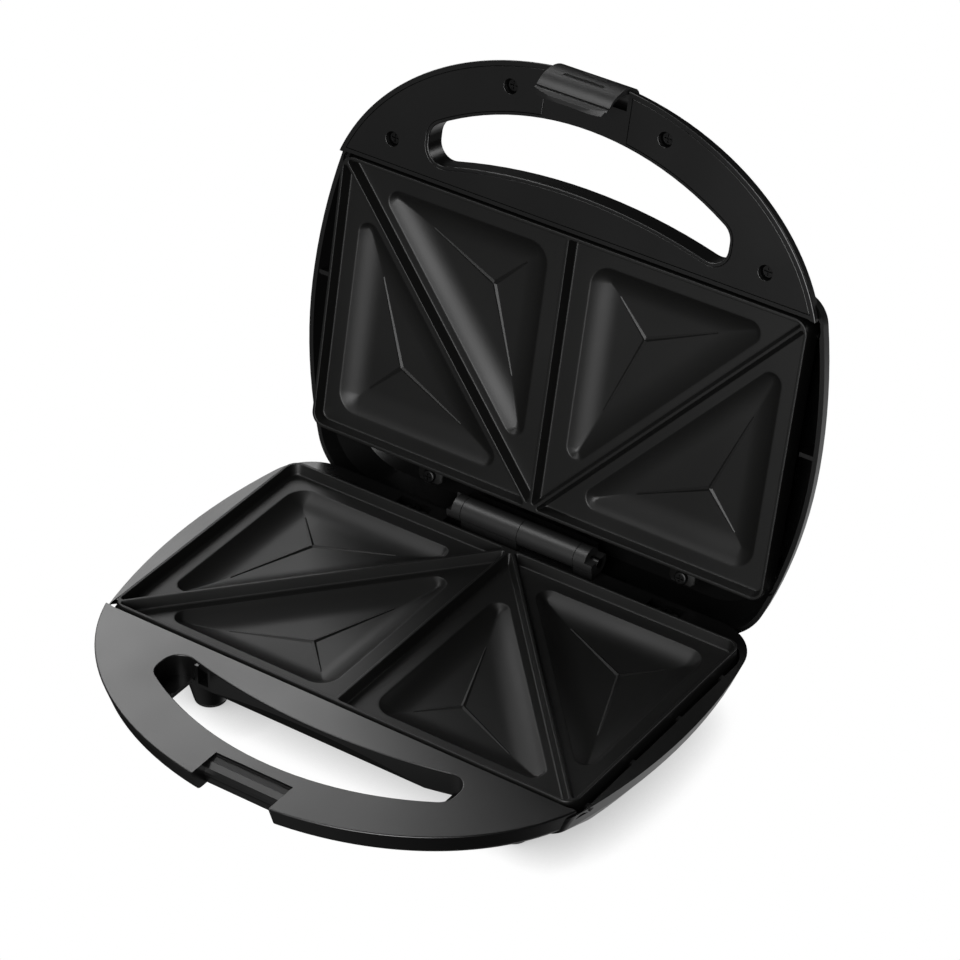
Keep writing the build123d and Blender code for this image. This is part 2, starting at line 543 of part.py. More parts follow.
# Seat of the C-shaped cover round the finger gap, with its hollows and screw posts.
LATCH_GAP = (-20.2, 19.2)
CUP = 3.8                           # depth of the wells that the handle screws sit in
cover_plan = handle_plan(COVER_IN, -2.7) - finger_gap(1.3)
cover_plan -= Pos(sum(LATCH_GAP) / 2, -62) * Rectangle(LATCH_GAP[1] - LATCH_GAP[0], 36)
lid_shell -= slab(cover_plan, LID_INNER - 1, LID_INNER + COVER_T)
lid_hollow = handle_plan(UNDERCUT + WALL, -12.0) - finger_gap(3.2)
lid_hollow -= Pos(0, -50) * Rectangle(50, 60)
lid_handle_cover = handle_plan(COVER_IN + 0.15, -2.85) - finger_gap(1.45)
lid_handle_cover -= Pos(sum(LATCH_GAP) / 2, -62) * Rectangle(
    LATCH_GAP[1] - LATCH_GAP[0] + 0.3, 36.3
)
lid_handle_cover = slab(lid_handle_cover, LID_INNER, LID_INNER + COVER_T)
lid_handle_screws = []
for side in (-1, 1):
    for x, y in HANDLE_SCREWS:
        lid_hollow -= Pos(side * x, y) * Circle(4.4)
lid_shell -= slab(lid_hollow, LID_INNER, LID_OUTER - WALL)
for side in (-1, 1):
    for x, y in HANDLE_SCREWS:
        cup = post(4.0, side * x, y, LID_INNER, LID_INNER + CUP + 1.2)
        lid_shell -= cup
        lid_shell -= post(1.3, side * x, y, LID_INNER, LID_INNER + CUP + 4.2)
        lid_handle_cover += cup
        lid_handle_cover -= post(3.1, side * x, y, LID_INNER - 1, LID_INNER + CUP)
        lid_handle_cover -= post(1.3, side * x, y, LID_INNER, LID_INNER + CUP + 2)
        spot = Pos(side * x, y, LID_INNER + CUP - 1.4) * Rot(180, 0, 0)
        lid_handle_screws.append(spot * screw(2.9, 1.4, 1.3, 5.4))

# ---- Latch ----------------------------------------------------------------------------
# Closed profile: the rounded skin from the top down, then the hook and the inside.
def at_centre(*points):
    """Points (y, z) set on the centre plane."""
    return [(0, y, z) for y, z in points]


latch_skin = ThreePointArc(*at_centre((-60.4, 10.9), (-63.6, 9.8), (-65.6, 7.0)))
latch_skin += ThreePointArc(*at_centre((-65.6, 7.0), (-67.0, 0.8), (-66.1, -4.6)))
latch_skin += ThreePointArc(*at_centre((-66.1, -4.6), (-64.3, -8.6), (-61.5, -11.3)))
latch_inside = Polyline(
    at_centre(
        (-61.5, -11.3), (-60.9, -11.1), (-61.0, -12.4), (-59.9, -14.6), (-58.3, -15.2),
        (-57.8, -14.5), (-58.0, -13.4), (-60.1, -13.1), (-60.3, -11.0), (-63.0, -8.4),
        (-64.6, -4.4), (-65.2, 0.6), (-63.6, 3.4), (-61.5, 3.2), (-60.4, 10.9),
    )
)
latch = extrude(make_face(latch_skin + latch_inside), amount=LATCH_HALF, dir=(1, 0, 0), both=True)
latch += cylinder_x(3.0, -LATCH_HALF, LATCH_HALF, LATCH_Y, LATCH_Z)
latch -= cylinder_x(1.3, -LATCH_HALF - 1, LATCH_HALF + 1, LATCH_Y, LATCH_Z)
# The hook's edge is bowed; a bar is let into the skin and a nib stands on it.
LIP_BOW = 60.0
below = block(-20, 20, -75, -50, -20, -12.2)
latch -= below - cylinder_y(LIP_BOW, -76, -49, 0, LIP_BOW - 15.3)
latch -= block(-9.5, 9.0, -70, -65.9, -4.9, -3.3)
latch += block(-3.3, 7.1, -67.7, -65.4, 0.0, 1.6)

# Slot for it through the front of the lid handle, and its pin.
slot_half = LATCH_HALF + 0.4
lid_shell -= block(-slot_half, slot_half, -70, -57.6, LID_INNER - 2, LID_OUTER + 1)
lid_shell -= cylinder_x(1.3, -21.5, 21.5, LATCH_Y, LATCH_Z)
latch_pin = cylinder_x(1.25, -21.0, 21.0, LATCH_Y, LATCH_Z)

# ---- Hinge ------------------------------------------------------------------------------
LEAF_T = 2.0
leaf_face = BASE_REAR - WALL
leaf_left, leaf_right = BASE_KNUCKLES[0][0], BASE_KNUCKLES[1][1]
base_hinge = block(leaf_left, leaf_right, leaf_face - LEAF_T, leaf_face, -19, -6.0)
for x0, x1 in BASE_KNUCKLES:
    base_hinge += block(x0, x1, leaf_face - LEAF_T - 1, leaf_face, -7, HINGE_Z)
    base_hinge += cylinder_x(KNUCKLE_R, x0, x1, HINGE_Y, HINGE_Z)
leaf_left, leaf_right = LID_KNUCKLES[0][0], LID_KNUCKLES[1][1]
lid_hinge = block(leaf_left, leaf_right, 131, 131 + LEAF_T, 7.4, LEAF_Z)
lid_hinge += block(leaf_left, leaf_right, 131, 140.8, LEAF_Z - LEAF_T, LEAF_Z)
for x0, x1 in LID_KNUCKLES:
    lid_hinge += block(x0, x1, 130, 131 + LEAF_T, HINGE_Z, 8)
    lid_hinge += cylinder_x(KNUCKLE_R, x0, x1, HINGE_Y, HINGE_Z)
pin_bore = cylinder_x(PIN_R + PIN_FIT, HINGE_LEFT - 5, HINGE_RIGHT + 5, HINGE_Y, HINGE_Z)
base_hinge -= pin_bore
lid_hinge -= pin_bore
# The outer ends are stepped: half of each end ring is cut back.
step_y, step_z = HINGE_Y - 8, HINGE_Z + 1.5
lid_hinge -= block(
    HINGE_LEFT - 1, HINGE_LEFT + 2.2, step_y, HINGE_Y, HINGE_Z - 8, step_z
)
base_hinge -= block(
    HINGE_RIGHT - 3.6, HINGE_RIGHT + 1, step_y, HINGE_Y + 8, step_z, HINGE_Z + 8
)
hinge_pin = cylinder_x(PIN_R, HINGE_LEFT + 0.6, HINGE_RIGHT + 0.4, HINGE_Y, HINGE_Z)

base_hinge_screws, lid_hinge_screws = [], []
for x in HINGE_SCREW_X:
    hole = Pos(x, leaf_face - 2, -13) * Rot(90, 0, 0) * Cylinder(1.5, 7)
    base_hinge -= hole
    base_shell -= hole
    spot = Pos(x, leaf_face - LEAF_T - 1.6, -13) * Rot(90, 0, 0)
    base_hinge_screws.append(spot * screw(2.8, 1.6, 1.5, 4.9))
    lid_hinge -= post(1.5, x, HINGE_SCREW_Y, LEAF_Z - 4, LEAF_Z + 1)
    spot = Pos(x, HINGE_SCREW_Y, LEAF_Z - LEAF_T - 1.6) * Rot(180, 0, 0)
    lid_hinge_screws.append(spot * screw(2.8, 1.6, 1.5, 9.5))

# ---- Upper plate and heater: the lower ones turned over ----------------------------------
def turned_over(shape):
    """Mirror image in the plane where the plates meet, for the lid's side."""
    return Pos(0, 0, PLATE_GAP) * mirror(shape, about=Plane.XY)


upper_plate = turned_over(lower_plate)
upper_heater = turned_over(lower_heater)
upper_clamps = [turned_over(c) for c in clamps]
upper_clamp_screws = [turned_over(s) for s in clamp_screws]
upper_reflector = turned_over(lower_reflector)
upper_tray_screws = [turned_over(s) for s in tray_screws]
upper_plate_screws = [turned_over(s) for s in plate_screws]

# Pilot lamps: lenses in the lid's top, neon tubes in holders under them.
LENS_X, LENS_Y, LENS_R = 12.0, 48.0, 4.5
lenses, lamps = [], []
for side in (-1, 1):
    x = side * LENS_X
    lens = post(LENS_R, x, LENS_Y, LID_TOP_Z - 4, LID_TOP_Z + 1.2)
    lens = fillet(lens.edges().group_by(Axis.Z)[-1], 1.1)
    lens += post(LENS_R + 1.2, x, LENS_Y, LID_TOP_Z - 4, LID_TOP_Z - WALL)
    lid_shell -= post(LENS_R, x, LENS_Y, LID_TOP_Z - 6, LID_TOP_Z + 2)
    lenses.append(lens)
    lamps.append(post(2.6, x, LENS_Y, LID_TOP_Z - 12, LID_TOP_Z - 4))

# ---- Nodes ---------------------------------------------------------------------------------
base_nodes = {
    "base_shell": base_shell,
    "base_handle_cover": base_handle_cover,
    "base_handle_screws": Compound(base_handle_screws),
    "lower_plate": lower_plate,
    "lower_plate_screws": Compound(plate_screws),
    "lower_heater": lower_heater,
    "lower_heater_clamps": Compound(clamps),
    "lower_clamp_screws": Compound(clamp_screws),
    "lower_reflector": lower_reflector,
    "lower_reflector_screws": Compound(tray_screws),
    "thermostat": thermostat,
    "thermal_fuse": thermal_fuse,
    "fuse_strap": fuse_strap,
    "terminal_block": terminal_block,
    "terminal_screws": Compound(terminal_screws),
    "cord_bushing": cord_bushing,
    "foot_pads": Compound(foot_pads),
    "base_hinge": base_hinge,
    "base_hinge_screws": Compound(base_hinge_screws),
    "hinge_pin": hinge_pin,
}
lid_nodes = {
    "lid_shell": lid_shell,
    "lid_handle_cover": lid_handle_cover,
    "lid_handle_screws": Compound(lid_handle_screws),
    "upper_plate": upper_plate,
    "upper_plate_screws": Compound(upper_plate_screws),
    "upper_heater": upper_heater,
    "upper_heater_clamps": Compound(upper_clamps),
    "upper_clamp_screws": Compound(upper_clamp_screws),
    "upper_reflector": upper_reflector,
    "upper_reflector_screws": Compound(upper_tray_screws),
    "lid_hinge": lid_hinge,
    "lid_hinge_screws": Compound(lid_hinge_screws),
    "lens_left": lenses[0],
    "lens_right": lenses[1],
    "pilot_lamps": Compound(lamps),
    "latch": latch,
    "latch_pin": latch_pin,
}

# Swing the lid open, then bring the middle of the underside to the origin.
to_axis = Pos(0, HINGE_Y, HINGE_Z)
swing = to_axis * Rot(-OPEN_ANGLE, 0, 0) * to_axis.inverse()
nodes = dict(base_nodes)
for name, shape in lid_nodes.items():
    nodes[name] = swing * shape
whole = Compound(list(nodes.values())).bounding_box()
middle = whole.center()
to_origin = Pos(-middle.X, -middle.Y, -whole.min.Z)
for name, shape in nodes.items():
    export_step(to_origin * shape, f"parts/{name}.step")
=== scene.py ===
"""Two-slice sandwich toaster, standing open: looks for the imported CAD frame.

Metres, in the frame's own axes: +X to the right seen from the handle, +Y from the
handle to the hinge, +Z up, with the origin on the table under the middle.  Sizes of
the cooking plates are in millimetres, in the toaster's own drawing: closed, with
y = 0 at the front edge of the plates and z = 0 on the rim of the lower one.
"""

import math

import bmesh
import bpy
from mathutils import Matrix, Vector


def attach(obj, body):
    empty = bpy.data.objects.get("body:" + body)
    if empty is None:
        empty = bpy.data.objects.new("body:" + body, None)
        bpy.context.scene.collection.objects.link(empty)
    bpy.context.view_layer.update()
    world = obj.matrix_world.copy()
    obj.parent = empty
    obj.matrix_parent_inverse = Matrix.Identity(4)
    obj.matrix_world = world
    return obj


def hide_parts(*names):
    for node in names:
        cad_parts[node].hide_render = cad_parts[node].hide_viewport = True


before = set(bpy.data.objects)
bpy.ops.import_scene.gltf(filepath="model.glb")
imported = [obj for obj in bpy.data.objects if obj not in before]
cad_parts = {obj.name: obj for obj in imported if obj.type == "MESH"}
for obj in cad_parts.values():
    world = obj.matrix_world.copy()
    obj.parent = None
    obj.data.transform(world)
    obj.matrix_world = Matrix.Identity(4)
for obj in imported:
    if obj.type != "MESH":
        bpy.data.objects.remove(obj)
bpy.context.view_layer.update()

# ---- Camera ----------------------------------------------------------------------------
# A long lens from the front right, 35 degrees above the table, as in the photograph,
# with its place solved from the edges of the cooking plates.
IMAGE_SIDE = 960
FOCAL_PIXELS = 4102.5
SENSOR_WIDTH = 36.0
CAMERA_AT = (0.759784, -1.054895, 1.030815)
CAMERA_AZIMUTH, CAMERA_ELEVATION = 34.84, 35.30
camera_data = bpy.data.cameras.new("camera")
camera_data.sensor_width = SENSOR_WIDTH
camera_data.lens = SENSOR_WIDTH * FOCAL_PIXELS / IMAGE_SIDE
camera = bpy.data.objects.new("camera", camera_data)
camera.location = CAMERA_AT
camera.rotation_euler = (
    math.radians(90 - CAMERA_ELEVATION), 0.0, math.radians(CAMERA_AZIMUTH)
)
bpy.context.scene.collection.objects.link(camera)
bpy.context.scene.camera = camera
bpy.context.scene.view_settings.view_transform = "Standard"

# ---- Floor -----------------------------------------------------------------------------
# Plain white, glowing by itself so that it stays white up to the object.  It darkens only
# where something is close above it, and isn't mirrored in the black plastic.
FLOOR_SIDE = 12.0
SHADE_REACH = 0.024
SHADE_DARKEST, SHADE_ENDS_AT = 0.3, 0.75
half = FLOOR_SIDE / 2
floor_mesh = bpy.data.meshes.new("floor")
floor_mesh.from_pydata(
    [(-half, -half, 0), (half, -half, 0), (half, half, 0), (-half, half, 0)], [], [(0, 1, 2, 3)]
)
floor = bpy.data.objects.new("floor", floor_mesh)
bpy.context.scene.collection.objects.link(floor)
floor_paint = bpy.data.materials.new("floor_paint")
floor_paint.use_nodes = True
floor_tree = floor_paint.node_tree
floor_shader = floor_tree.nodes["Principled BSDF"]
floor_shader.inputs["Base Color"].default_value = (0, 0, 0, 1)
floor_shader.inputs["Roughness"].default_value = 0.9
floor_shader.inputs["Specular IOR Level"].default_value = 0.0
floor_shader.inputs["Emission Color"].default_value = (1, 1, 1, 1)
closeness = floor_tree.nodes.new("ShaderNodeAmbientOcclusion")
closeness.inputs["Distance"].default_value = SHADE_REACH
shade = floor_tree.nodes.new("ShaderNodeMapRange")
shade.inputs["From Max"].default_value = SHADE_ENDS_AT
shade.inputs["To Min"].default_value = SHADE_DARKEST
shade.inputs["To Max"].default_value = 1.0
floor_tree.links.new(closeness.outputs["AO"], shade.inputs["Value"])
floor_tree.links.new(shade.outputs["Result"], floor_shader.inputs["Emission Strength"])
floor_mesh.materials.append(floor_paint)
floor.visible_glossy = False
floor.visible_diffuse = False
floor.visible_shadow = False

# ---- Studio ----------------------------------------------------------------------------
# A dark room with two faint glows: one that the open lid's face mirrors, and one under
# the back of the lid.  Each has a direction, the cosine at its edge and its strength,
# and fades to almost nothing at the edge.
GLOW_LEAST = 0.005
GLOWS = (
    ((-0.46, -0.82, -0.34), 0.35, 0.16),
    ((0.0, 0.62, -0.78), 0.85, 0.5),
)
world = bpy.data.worlds.new("studio")
bpy.context.scene.world = world
world.use_nodes = True
studio_nodes, studio_links = world.node_tree.nodes, world.node_tree.links
backdrop = studio_nodes["Background"]
backdrop.inputs["Color"].default_value = (1, 1, 1, 1)
looking = studio_nodes.new("ShaderNodeTexCoord")
both_glows = studio_nodes.new("ShaderNodeMath")
studio_links.new(both_glows.outputs["Value"], backdrop.inputs["Strength"])
for socket, (towards, edge, strength) in enumerate(GLOWS):
    facing = studio_nodes.new("ShaderNodeVectorMath")
    facing.operation = "DOT_PRODUCT"
    facing.inputs[1].default_value = Vector(towards).normalized()
    glow = studio_nodes.new("ShaderNodeMapRange")
    glow.interpolation_type = "SMOOTHSTEP"
    glow.inputs["From Min"].default_value = edge
    glow.inputs["To Min"].default_value = GLOW_LEAST
    glow.inputs["To Max"].default_value = strength
    studio_links.new(looking.outputs["Generated"], facing.inputs[0])
    studio_links.new(facing.outputs["Value"], glow.inputs["Value"])
    studio_links.new(glow.outputs["Result"], both_glows.inputs[socket])


def softbox(name, at, towards, size, radiance):
    """Rectangular area light of a given brightness, aimed at a point."""
    data = bpy.data.lights.new(name, "AREA")
    data.shape = "RECTANGLE"
    data.size, data.size_y = size
    data.energy = radiance * math.pi * size[0] * size[1]
    light = bpy.data.objects.new(name, data)
    light.location = at
    aim = Vector(towards) - Vector(at)
    light.rotation_euler = aim.to_track_quat("-Z", "Y").to_euler()
    bpy.context.scene.collection.objects.link(light)


# Softboxes stand where highlights are mirrored from: in turn those of the lower plate's
# far coves, of its coves that face left, of the front handle's top, and of the open
# lid's coves.  The last one lights what is seen from behind.
softbox("overhead", (-0.62, -0.30, 1.45), (0, 0, 0), (0.7, 0.7), 5.0)
softbox("left", (-1.25, 0.42, 0.58), (0, 0, 0.03), (0.5, 0.5), 3.2)
softbox("back_left", (-0.94, 0.84, 0.90), (-0.1, -0.05, 0.04), (0.5, 0.5), 5.6)
softbox("front", (0.34, -1.25, 0.54), (0, 0.05, 0.12), (0.8, 1.2), 9.0)
softbox("behind", (0.9, 1.3, 0.7), (0, 0.1, 0.12), (0.8, 0.8), 3.0)

# ---- Base shell, lid shell, handle covers ----------------------------------------------
# Injection-moulded heat-proof plastic, black, with a fine satin grain from the mould
# and a polish gone a little uneven where it is rubbed.  The handles' covers are
# screwed on, and have rounded edges.
MOULD_BLACK = (0.0016, 0.0016, 0.0016)
COVER_ROUNDING = 0.0004
WELD_DISTANCE = 0.000002
FLAT_WITHIN, ROUNDED_FROM = 0.5, 35.0


def new_finish(name):
    """Material, its node tree, its shader, and the place on the piece as a vector."""
    paint = bpy.data.materials.new(name)
    paint.use_nodes = True
    tree = paint.node_tree
    place = tree.nodes.new("ShaderNodeTexCoord")
    return paint, tree, tree.nodes["Principled BSDF"], place.outputs["Object"]


def noise(tree, place, scale, detail):
    """Cloudy pattern."""
    texture = tree.nodes.new("ShaderNodeTexNoise")
    texture.inputs["Scale"].default_value = scale
    texture.inputs["Detail"].default_value = detail
    tree.links.new(place, texture.inputs["Vector"])
    return texture.outputs["Fac"]


def value_between(tree, factor, low, high, start=0.0, end=1.0):
    """Value that goes from low to high while the factor goes from start to end."""
    span = tree.nodes.new("ShaderNodeMapRange")
    for label, value in (("From Min", start), ("From Max", end), ("To Min", low), ("To Max", high)):
        span.inputs[label].default_value = value
    tree.links.new(factor, span.inputs["Value"])
    return span.outputs["Result"]


def tone_between(tree, factor, colour, low, high):
    """Colour that goes from low to high times the given one."""
    tone = tree.nodes.new("ShaderNodeMix")
    tone.data_type = "RGBA"
    tone.inputs["A"].default_value = (*(low * channel for channel in colour), 1)
    tone.inputs["B"].default_value = (*(high * channel for channel in colour), 1)
    tree.links.new(factor, tone.inputs["Factor"])
    return tone.outputs["Result"]


def relief(tree, height, strength, depth):
    """Fine unevenness, as a normal."""
    bump = tree.nodes.new("ShaderNodeBump")
    bump.inputs["Strength"].default_value = strength
    bump.inputs["Distance"].default_value = depth
    tree.links.new(height, bump.inputs["Height"])
    return bump.outputs["Normal"]


def satin_finish(name, colour, roughness, grain_size, grain_depth, specular=0.5):
    """Moulded or painted: fine grain, with a gloss and a tone that vary a little."""
    paint, tree, shader, place = new_finish(name)
    grain = noise(tree, place, scale=1 / grain_size, detail=3)
    wear = noise(tree, place, scale=22, detail=2)
    gloss = value_between(tree, wear, roughness - 0.02, roughness + 0.03, start=0.3, end=0.7)
    tone = tone_between(tree, grain, colour, low=1.0, high=2.2)
    bumps = relief(tree, grain, strength=0.25, depth=grain_depth)
    shader.inputs["Specular IOR Level"].default_value = specular
    tree.links.new(gloss, shader.inputs["Roughness"])
    tree.links.new(tone, shader.inputs["Base Color"])
    tree.links.new(bumps, shader.inputs["Normal"])
    return paint


def dress(material, *names):
    """Give CAD nodes that keep their shape a material in place of the record's."""
    for name in names:
        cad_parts[name].data.materials[0] = material


def softened(node, material, width):
    """Copy of a CAD node, welded, with its edges rounded off as a mould leaves them."""
    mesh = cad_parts[node].data.copy()
    shape = bmesh.new()
    shape.from_mesh(mesh)
    bmesh.ops.remove_doubles(shape, verts=shape.verts, dist=WELD_DISTANCE)
    bmesh.ops.dissolve_limit(
        shape, angle_limit=math.radians(FLAT_WITHIN), verts=shape.verts, edges=shape.edges
    )
    for face in shape.faces:
        face.smooth = True
    shape.to_mesh(mesh)
    shape.free()
    mesh.materials.clear()
    mesh.materials.append(material)
    piece = bpy.data.objects.new(node + "_moulding", mesh)
    bpy.context.scene.collection.objects.link(piece)
    rounding = piece.modifiers.new("rounding", "BEVEL")
    rounding.width = width
    rounding.segments = 2
    rounding.limit_method = "ANGLE"
    rounding.angle_limit = math.radians(ROUNDED_FROM)
    flats = piece.modifiers.new("flats", "WEIGHTED_NORMAL")
    flats.keep_sharp = True
    return piece


satin_black = satin_finish(
    "satin_black", MOULD_BLACK, roughness=0.29, grain_size=0.0005, grain_depth=0.00003
)
dress(satin_black, "base_shell", "lid_shell")
base_cover = softened("base_handle_cover", satin_black, COVER_ROUNDING)
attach(base_cover, "base")
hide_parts("base_handle_cover")
lid_cover = softened("lid_handle_cover", satin_black, COVER_ROUNDING)
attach(lid_cover, "lid")
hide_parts("lid_handle_cover")

# ---- Cooking plates --------------------------------------------------------------------
# Two equal die castings of aluminium with a black non-stick coat, the upper one turned
# over: ridges that cut and seal the bread, and coved pockets with three fine raised
# creases in each floor.  Screw ears stand out behind, hooks in front.
PLATE_X, PLATE_Y, PLATE_R = 222.0, 121.4, 6.0
PLATE_GAP = 0.4
RIM_W, LAND = 1.4, 4.7
SKIRT, SKIRT_T, CEILING = 9.5, 3.0, 7.5
NON_STICK = (0.0018, 0.0018, 0.0017)
SHARP_FROM = 40.0

# The right half's two triangles; margins go with the sides, radii with the corners.
TRAYS = (
    dict(
        corners=((0, 0), (PLATE_X / 2, 0), (0, PLATE_Y)),
        ridge=(RIM_W, RIM_W / 2, RIM_W / 2), ridge_r=(1.0, 1.0, 1.0),
        pocket=(9.2, 5.5, 10.5),
    ),
    dict(
        corners=((PLATE_X / 2, PLATE_Y), (0, PLATE_Y), (PLATE_X / 2, 0)),
        ridge=(RIM_W, RIM_W / 2, RIM_W), ridge_r=(4.6, 1.0, 1.0),
        pocket=(9.0, 6.0, 9.5),
    ),
)
# Across a ridge, a rim and a pocket's underside: how far in, and at what height.
RIDGE_PROFILE = (
    (-0.45, 0), (-0.30, 0), (-0.13, -0.05), (0, -0.18), (0.07, -0.36),
    (0.97, -4.0), (1.10, -4.42), (1.36, -4.63), (1.75, -LAND), (1.95, -LAND),
)
RIM_PROFILE = (
    (0.62, 0), (0.45, 0), (0.22, -0.06), (0.06, -0.22), (0, -0.45),
    (0, -SKIRT + 0.4), (0.12, -SKIRT + 0.12), (0.4, -SKIRT),
    (SKIRT_T - 0.3, -SKIRT), (SKIRT_T, -SKIRT + 0.3), (SKIRT_T, -CEILING),
)
UNDER_PROFILE = ((-2.0, -CEILING), (-1.2, -7.9), (3, -9.3), (8, -11.0), (12.5, -11.6))
UNDER_MIDDLE = -11.9

# A pocket's edge is rounded down into a cove, which runs out level in the floor.
POCKET_R = (9.0, 5.0, 5.0)
POCKET_TIGHTENING = 1.15
EDGE_STRIP, EDGE_R = 1.1, 1.2
COVE_W, COVE_ANGLE = 12.5, 40
COVE_R = COVE_W / math.sin(math.radians(COVE_ANGLE))
POCKET_DEPTH = COVE_R * (1 - math.cos(math.radians(COVE_ANGLE)))
FLOOR_STRIP, FLOOR_FALL, FLOOR_MIDDLE_FALL = 1.2, 0.02, 0.25

# A crease runs from the middle of the floor, a little sunk, to just inside the cove.
CREASE_SIZES = {"Half Width": 1.0, "Rise": 0.55, "Tail": 0.4}
CREASE_INTO_COVE, CREASE_HEAD_SINK, CREASE_TAIL_LIFT = 0.6, 0.22, 0.05

EARS_X, EAR_T = (-53.0, 71.0), 3.0
EAR_OUTLINE = ((-6, 120), (6, 120), (6, 128), (4.6, 129.6), (-4.6, 129.6), (-6, 128))
HOOKS_X, HOOK_TOP = (-65.0, 65.0), -6.5
HOOK_OUTLINE = ((-5, -3), (5, -3), (5, 1), (-5, 1))
PAD_AT, PAD_R, PAD_FACE = (0, 59.5), 8, -12.5
SADDLES_Y, SADDLE_HALF_Y, SADDLE_HALF_X = (34.0, 85.0), 17, 7
SADDLE_TOP, HEATER_R, HEATER_Z = -7, 3.3, -15.55

# Where the drawing lies in the frame: pieces of the base, and of the open lid.
DRAWING_SHIFT = (0, -62.3124, 42)
HINGE_AT, OPEN_ANGLE = (0, 132.0, 1.0), 102.5
ON_BASE = Matrix.Scale(0.001, 4) @ Matrix.Translation(DRAWING_SHIFT)
HINGE_AXIS = Matrix.Translation(HINGE_AT)
ON_LID = (
    ON_BASE @ HINGE_AXIS @ Matrix.Rotation(math.radians(-OPEN_ANGLE), 4, "X")
    @ HINGE_AXIS.inverted()
)
TURNED_OVER = Matrix.Translation((0, 0, PLATE_GAP)) @ Matrix.Scale(-1, 4, (0, 0, 1))


def drawn_in(corners, margins):
    """Corners of a triangle whose side i (corner i to i + 1) moves in by margins[i]."""
    sides = []
    for i, margin in enumerate(margins):
        start, end = Vector(corners[i]), Vector(corners[(i + 1) % 3])
        along = (end - start).normalized()
        sides.append((start + Vector((-along.y, along.x)) * margin, along))
    moved = []
    for i in range(3):
        (p, u), (q, v) = sides[i - 1], sides[i]
        moved.append(p + u * ((q - p).cross(v) / u.cross(v)))
    return moved


def pocket_corners(tray, inset):
    """Corners of a tray's pocket, drawn in from its edge."""
    return drawn_in(tray["corners"], [margin + inset for margin in tray["pocket"]])


def incentre(corners):
    """Centre of the circle that fits in a triangle."""
    a, b, c = corners
    sides = ((b - c).length, (c - a).length, (a - b).length)
    return (a * sides[0] + b * sides[1] + c * sides[2]) / sum(sides)


def ring_points(corners, radii, round_steps=10, side_steps=16):
    """Points round a closed outline with a radius at each corner."""
    count = len(corners)
    turns = []
    for i in range(count):
        before = (corners[i] - corners[i - 1]).normalized()
        after = (corners[(i + 1) % count] - corners[i]).normalized()
        turn = math.atan2(before.cross(after), before.dot(after))
        start = corners[i] - before * radii[i] * math.tan(turn / 2)
        centre = start + Vector((-before.y, before.x)) * radii[i]
        arm = start - centre
        turns.append([])
        for k in range(round_steps + 1):
            turns[-1].append(centre + Matrix.Rotation(turn * k / round_steps, 2) @ arm)
    points = []
    for i in range(count):
        points += turns[i]
        start, end = turns[i][-1], turns[(i + 1) % count][0]
        points += [start.lerp(end, k / side_steps) for k in range(1, side_steps)]
    return points


def ridge_rings(tray):
    """Corners, radii and height of the rings from a tray's ridge tops to its land."""
    rings = []
    for inset, z in RIDGE_PROFILE:
        corners = drawn_in(tray["corners"], [margin + inset for margin in tray["ridge"]])
        rings.append((corners, [max(r - inset, 0.3) for r in tray["ridge_r"]], z))
    return rings


def pocket_rings(tray):
    """Rings from the land to the floor of a tray's pocket."""
    steps = [(-EDGE_STRIP, 0.0)]
    edge_start = math.tan(math.radians(COVE_ANGLE / 2))
    for angle in range(0, COVE_ANGLE + 1, 10):
        turn = math.radians(angle)
        steps.append((EDGE_R * (math.sin(turn) - edge_start), EDGE_R * (1 - math.cos(turn))))
    for angle in range(COVE_ANGLE - 4, -1, -4):
        turn = math.radians(angle)
        down = POCKET_DEPTH - COVE_R * (1 - math.cos(turn))
        steps.append((COVE_W - COVE_R * math.sin(turn), down))
    steps.append((COVE_W + FLOOR_STRIP, POCKET_DEPTH + FLOOR_FALL))
    rings = []
    for inset, down in steps:
        tighten = 1.0 if inset < 0 else POCKET_TIGHTENING
        radii = [max(r - tighten * inset, 0.5) for r in POCKET_R]
        rings.append((pocket_corners(tray, inset), radii, -LAND - down))
    return rings


def under_rings(tray):
    """Rings of the same pocket on the underside of the casting."""
    rings = []
    for inset, z in UNDER_PROFILE:
        rings.append((pocket_corners(tray, inset), [max(r - inset, 0.6) for r in POCKET_R], z))
    return rings


def rim_rings():
    """Rings round the whole plate, from the top of its rim to inside its skirt."""
    rings = []
    for inset, z in RIM_PROFILE:
        u, v = PLATE_X / 2 - inset, PLATE_Y / 2 - inset
        signs = ((-1, -1), (1, -1), (1, 1), (-1, 1))
        corners = [Vector((a * u, PLATE_Y / 2 + b * v)) for a, b in signs]
        rings.append((corners, [PLATE_R - inset] * 4, z))
    return rings


def join_rows(mesh, rows):
    """Bands of faces between rows of as many points each."""
    for upper, lower in zip(rows, rows[1:]):
        for k in range(len(upper)):
            n = (k + 1) % len(upper)
            mesh.faces.new((upper[k], upper[n], lower[n], lower[k]))


def add_rings(mesh, rings, side=1):
    """Bands of faces through the rings; returns the first and the last row of points."""
    rows = []
    for corners, radii, z in rings:
        rows.append([mesh.verts.new((side * p.x, p.y, z)) for p in ring_points(corners, radii)])
    join_rows(mesh, rows)
    return rows[0], rows[-1]


def close_row(mesh, row, tip):
    """Fan from a row of points to one point."""
    middle = mesh.verts.new(tip)
    for k in range(len(row)):
        mesh.faces.new((row[k], row[(k + 1) % len(row)], middle))


def fill_between(mesh, rows):
    """Flat face with holes, between rows of points."""
    edges = []
    for row in rows:
        for k in range(len(row)):
            edges.append(mesh.edges.get((row[k], row[(k + 1) % len(row)])))
    bmesh.ops.triangle_fill(mesh, use_beauty=True, edges=edges)


